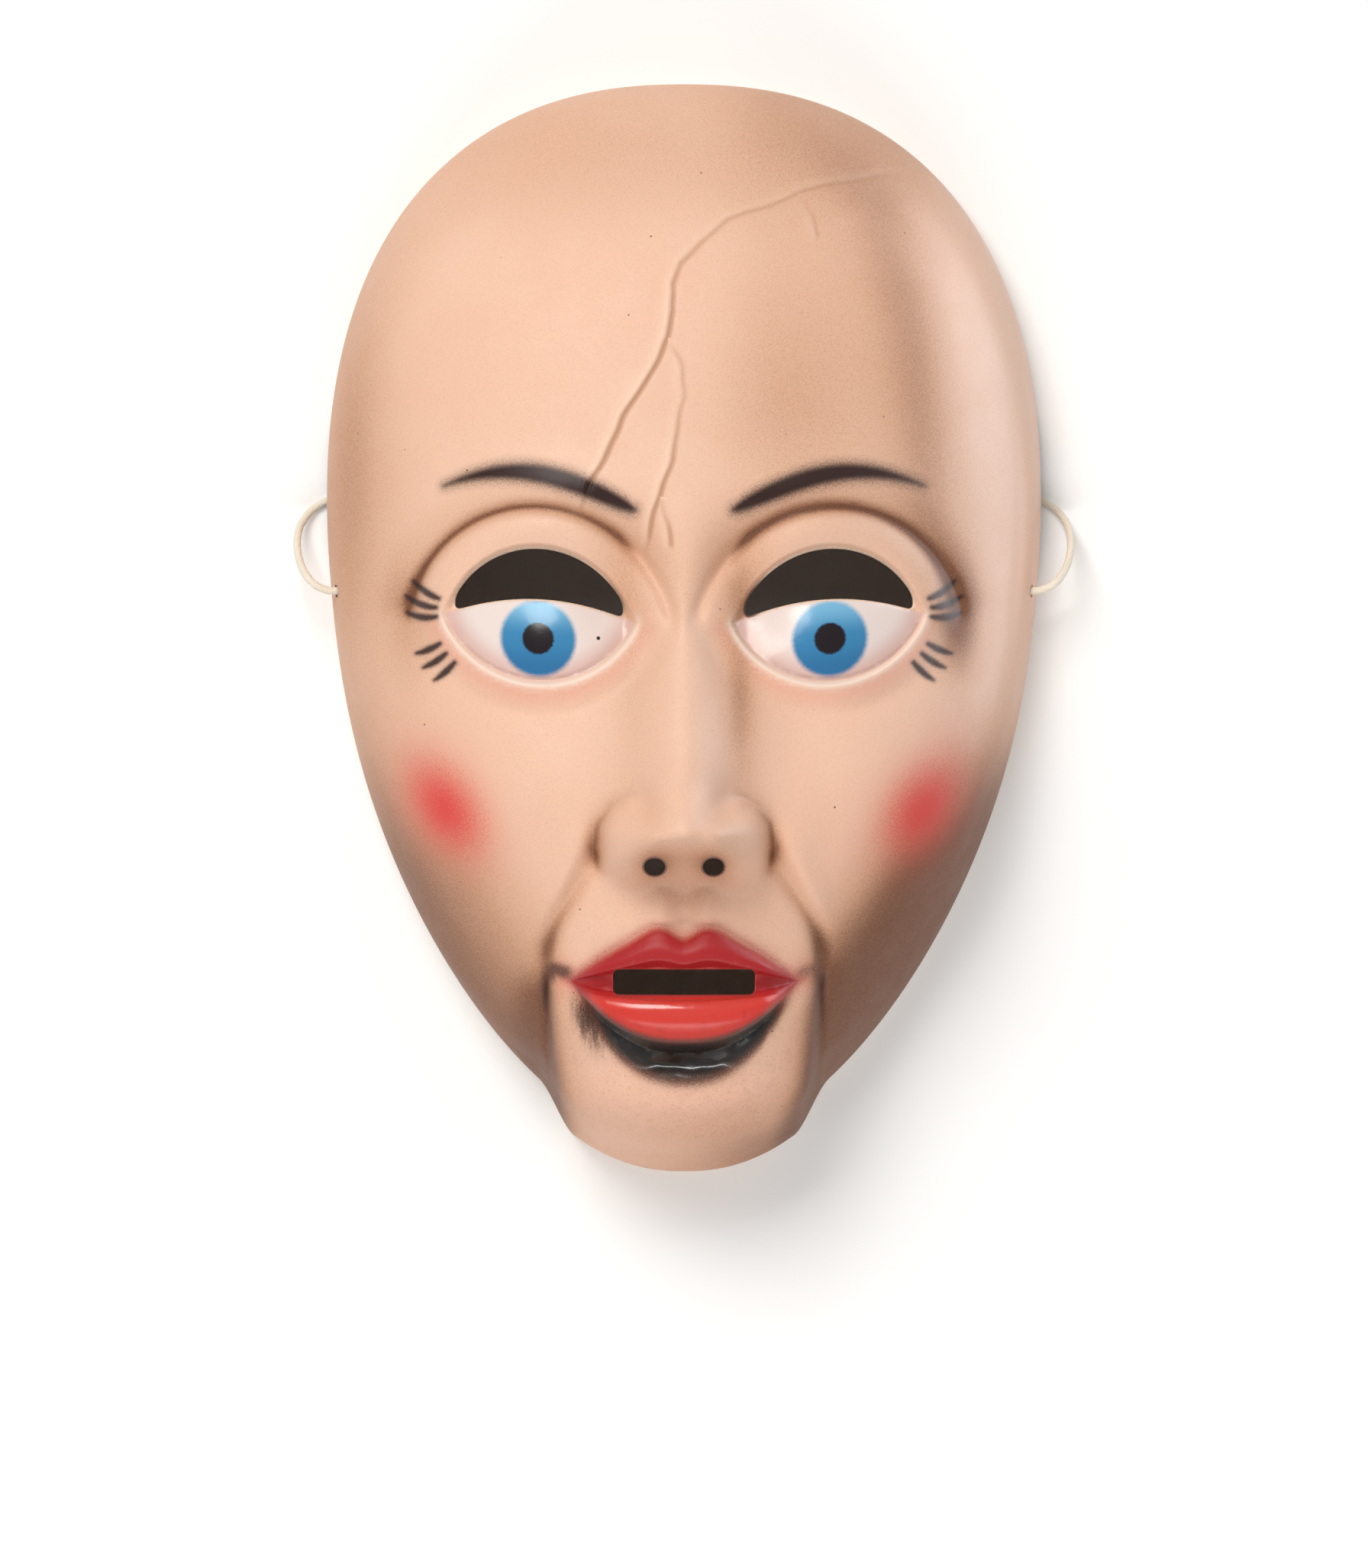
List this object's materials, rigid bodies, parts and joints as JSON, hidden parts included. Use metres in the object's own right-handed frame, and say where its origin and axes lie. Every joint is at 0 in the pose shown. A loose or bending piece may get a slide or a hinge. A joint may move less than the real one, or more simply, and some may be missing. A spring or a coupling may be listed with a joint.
{
  "type": "doll face mask",
  "caption": "Full-face doll mask: a thin moulded plastic shell with doll eyes under view openings, a slotted mouth, a jaw panel in relief and a round elastic.",
  "frame": {"origin": "on the plane of the rim, at the middle of the shell's length and width", "axes": "+Z the way the face looks, +Y from the chin to the forehead, +X across the face, to the right of someone facing the mask"},
  "size_m": [0.1774, 0.248, 0.0829],
  "materials": {
    "painted_plastic": "satin, airbrushed",
    "elastic": "braided, matte"
  },
  "bodies": {
    "root": {"mask_shell": "painted_plastic", "elastic_cord": "elastic", "elastic_knot_left": "elastic", "elastic_knot_right": "elastic"}
  },
  "joints": []
}
